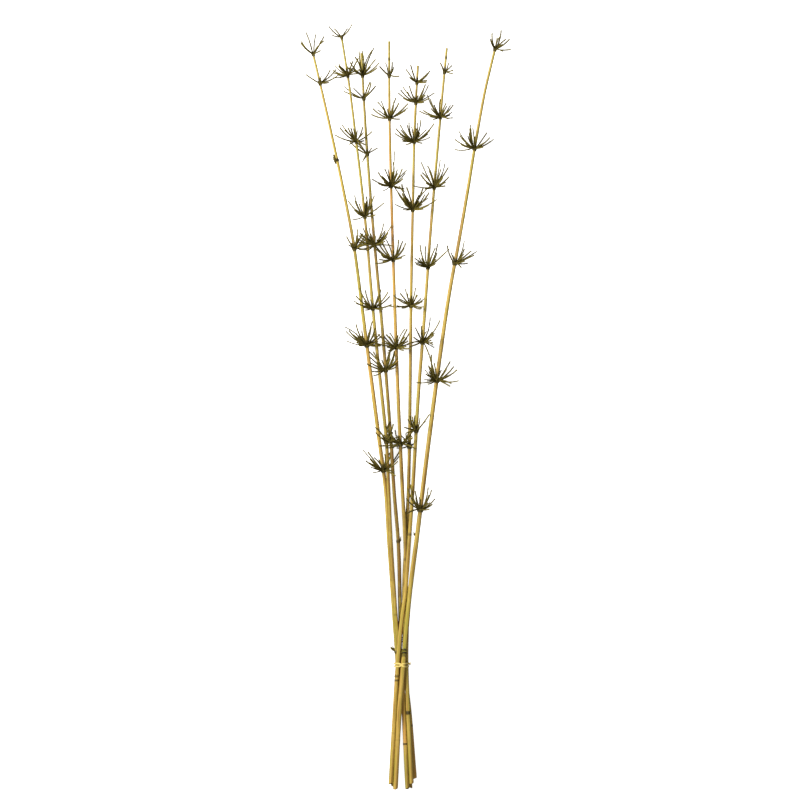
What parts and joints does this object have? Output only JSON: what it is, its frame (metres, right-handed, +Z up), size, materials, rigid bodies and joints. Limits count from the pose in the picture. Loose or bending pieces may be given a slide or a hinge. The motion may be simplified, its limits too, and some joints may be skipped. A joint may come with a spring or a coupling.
{
  "type": "bunch of dried reeds",
  "caption": "Bunch of dried jointed reeds lying flat: slim straw-gold stems with whorls of short dark twigs at the joints, gathered low down by a raffia tie.",
  "frame": {"origin": "centre of the bunch's outline, on the surface it lies on", "axes": "+Y along the stems to the whorled tips, +Z up from the surface"},
  "size_m": [0.3076, 1.1047, 0.0551],
  "materials": {
    "stem": "dry straw-gold reed skin, satin",
    "twig": "dry dark olive twigs, matt",
    "raffia": "dry pale raffia strip, satin"
  },
  "bodies": {
    "root": {"bud_1": "twig", "bud_2": "twig", "bud_3": "twig", "bud_4": "twig", "reed_1": "stem", "reed_2": "stem", "reed_3": "stem", "reed_4": "stem", "reed_5": "stem", "reed_6": "stem", "reed_7": "stem", "tie": "raffia", "tuft_1_1": "twig", "tuft_1_2": "twig", "tuft_1_3": "twig", "tuft_1_4": "twig", "tuft_1_5": "twig", "tuft_2_1": "twig", "tuft_2_2": "twig", "tuft_2_3": "twig", "tuft_2_4": "twig", "tuft_2_5": "twig", "tuft_2_6": "twig", "tuft_3_1": "twig", "tuft_3_2": "twig", "tuft_3_3": "twig", "tuft_3_4": "twig", "tuft_3_5": "twig", "tuft_4_1": "twig", "tuft_4_2": "twig", "tuft_4_3": "twig", "tuft_4_4": "twig", "tuft_4_5": "twig", "tuft_4_6": "twig", "tuft_5_1": "twig", "tuft_5_2": "twig", "tuft_5_3": "twig", "tuft_5_4": "twig", "tuft_5_5": "twig", "tuft_5_6": "twig", "tuft_6_1": "twig", "tuft_6_2": "twig", "tuft_6_3": "twig", "tuft_6_4": "twig", "tuft_6_5": "twig", "tuft_6_6": "twig", "tuft_7_1": "twig", "tuft_7_2": "twig", "tuft_7_3": "twig", "tuft_7_4": "twig", "tuft_7_5": "twig"}
  },
  "joints": []
}
